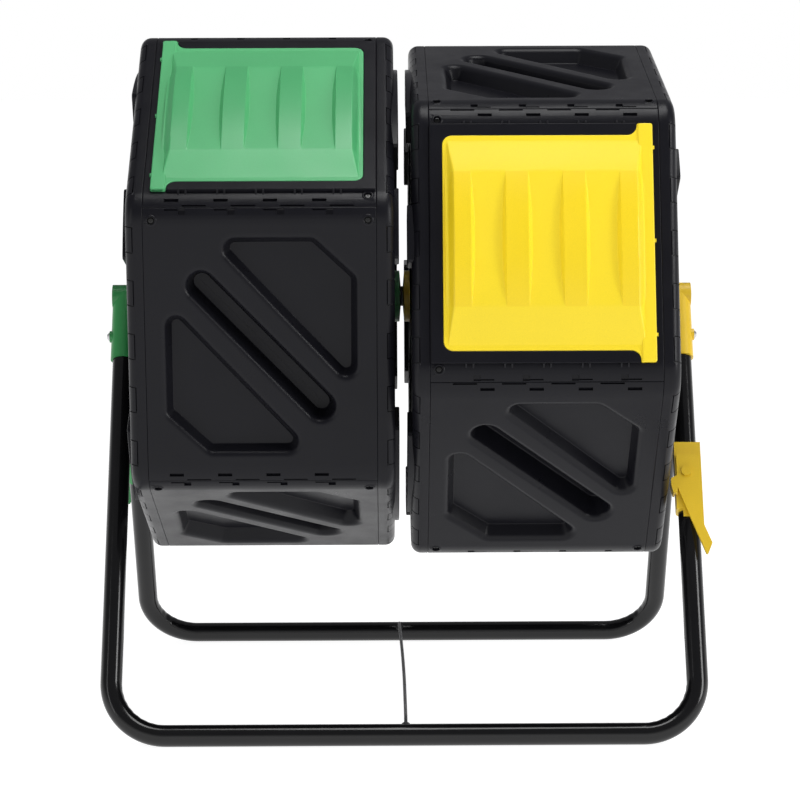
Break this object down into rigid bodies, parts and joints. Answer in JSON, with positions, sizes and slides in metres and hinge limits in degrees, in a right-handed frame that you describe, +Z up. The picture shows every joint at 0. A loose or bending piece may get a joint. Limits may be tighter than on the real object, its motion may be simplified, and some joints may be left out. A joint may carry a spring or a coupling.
{
  "type": "compost tumbler",
  "caption": "Twin-drum compost tumbler: two hexagonal plastic drums with sliding doors spin on one axle between two bent-tube legs, with a lock clip on each side.",
  "frame": {"origin": "on the ground under the middle of the axle", "axes": "+Z up, +X to the right along the axle, the front faces -Y"},
  "size_m": [0.7178, 0.621, 0.7993],
  "materials": {
    "black_plastic": "satin moulded recycled plastic",
    "black_tube": "gloss black enamel",
    "zinc_steel": "zinc plated",
    "black_nylon": "nylon",
    "black_cord": "braided",
    "black_screw": "black oxide",
    "green_door": "satin",
    "yellow_door": "satin",
    "green_plastic": "satin",
    "yellow_plastic": "satin"
  },
  "bodies": {
    "frame": {"front_leg_frame": "black_tube", "rear_leg_frame": "black_tube", "left_axle_bracket": "green_plastic", "right_axle_bracket": "yellow_plastic", "bracket_bolts": "zinc_steel", "bracket_nuts": "zinc_steel", "axle": "zinc_steel", "centre_washer": "black_nylon", "thrust_washers": "black_nylon", "cord_grommets": "black_nylon", "spread_cord": "black_cord", "left_lock_body": "green_plastic", "right_lock_body": "yellow_plastic", "left_lock_pin": "green_plastic", "right_lock_pin": "yellow_plastic"},
    "left_drum": {"left_panel_1": "black_plastic", "left_panel_2": "black_plastic", "left_panel_3": "black_plastic", "left_panel_4": "black_plastic", "left_panel_5": "black_plastic", "left_door_panel": "black_plastic", "left_panel_screws": "black_screw", "left_outer_cap": "black_plastic", "left_inner_cap": "black_plastic", "left_outer_hub": "green_plastic", "left_inner_hub": "green_plastic", "left_outer_hub_nut": "green_plastic", "left_inner_hub_nut": "green_plastic", "left_lock_pads": "black_plastic"},
    "right_drum": {"right_panel_1": "black_plastic", "right_panel_2": "black_plastic", "right_panel_3": "black_plastic", "right_panel_4": "black_plastic", "right_panel_5": "black_plastic", "right_door_panel": "black_plastic", "right_panel_screws": "black_screw", "right_outer_cap": "black_plastic", "right_inner_cap": "black_plastic", "right_outer_hub": "yellow_plastic", "right_inner_hub": "yellow_plastic", "right_outer_hub_nut": "yellow_plastic", "right_inner_hub_nut": "yellow_plastic", "right_lock_pads": "black_plastic"},
    "left_door": {"left_door": "green_door"},
    "right_door": {"right_door": "yellow_door"},
    "left_lever": {"left_lock_lever": "green_plastic"},
    "right_lever": {"right_lock_lever": "yellow_plastic"}
  },
  "joints": [
    {"name": "left_drum_spin", "type": "hinge", "parent": "frame", "child": "left_drum", "pos_m": [-0.159, 0, 0.4875], "axis": [-1, 0, 0], "continuous": true},
    {"name": "right_drum_spin", "type": "hinge", "parent": "frame", "child": "right_drum", "pos_m": [0.159, 0, 0.4875], "axis": [-1, 0, 0], "continuous": true},
    {"name": "left_door_slide", "type": "slide", "parent": "left_drum", "child": "left_door", "axis": [1, 0, 0], "range_m": [-0.21, 0]},
    {"name": "right_door_slide", "type": "slide", "parent": "right_drum", "child": "right_door", "axis": [-1, 0, 0], "range_m": [-0.21, 0]},
    {"name": "left_lock_swing", "type": "hinge", "parent": "frame", "child": "left_lever", "pos_m": [-0.3326, 0.12122, 0.28187], "axis": [0, -0.8615, -0.5078], "range_deg": [0, 14]},
    {"name": "right_lock_swing", "type": "hinge", "parent": "frame", "child": "right_lever", "pos_m": [0.3326, -0.12122, 0.28187], "axis": [0, 0.8615, -0.5078], "range_deg": [0, 14]}
  ]
}
